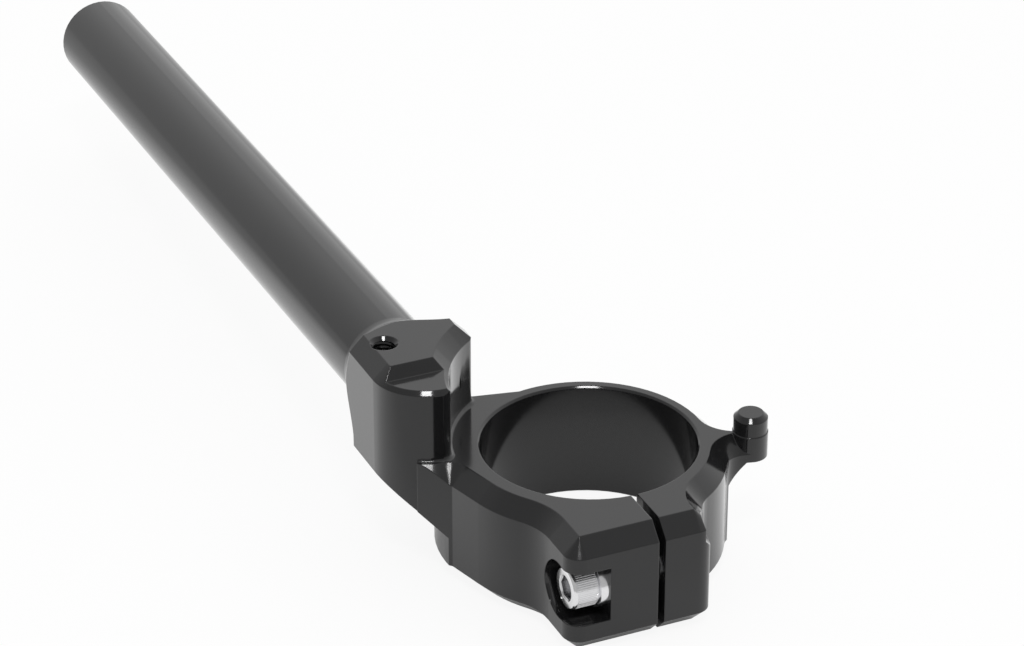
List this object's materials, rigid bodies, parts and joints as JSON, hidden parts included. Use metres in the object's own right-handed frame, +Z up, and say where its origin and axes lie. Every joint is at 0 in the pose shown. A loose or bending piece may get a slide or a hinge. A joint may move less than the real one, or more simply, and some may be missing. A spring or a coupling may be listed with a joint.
{
  "type": "motorcycle handlebar",
  "caption": "Raised clip-on handlebar: a split ring clamps on the fork tube and a riser beside it carries a straight grip tube.",
  "frame": {"origin": "middle of the fork clamp's bore: on its axis and halfway up the clamp", "axes": "+Z up the fork tube, towards the riser's top; +X along the grip tube in plan, from the riser to the open end; +Y towards the side of the ring where the riser stands"},
  "size_m": [0.2928, 0.0855, 0.0494],
  "materials": {
    "black_anodised": "satin black anodised",
    "bright_steel": "bright zinc plated"
  },
  "bodies": {
    "root": {"clip_on_bar": "black_anodised", "washer": "bright_steel", "pinch_screw": "bright_steel"}
  },
  "joints": []
}
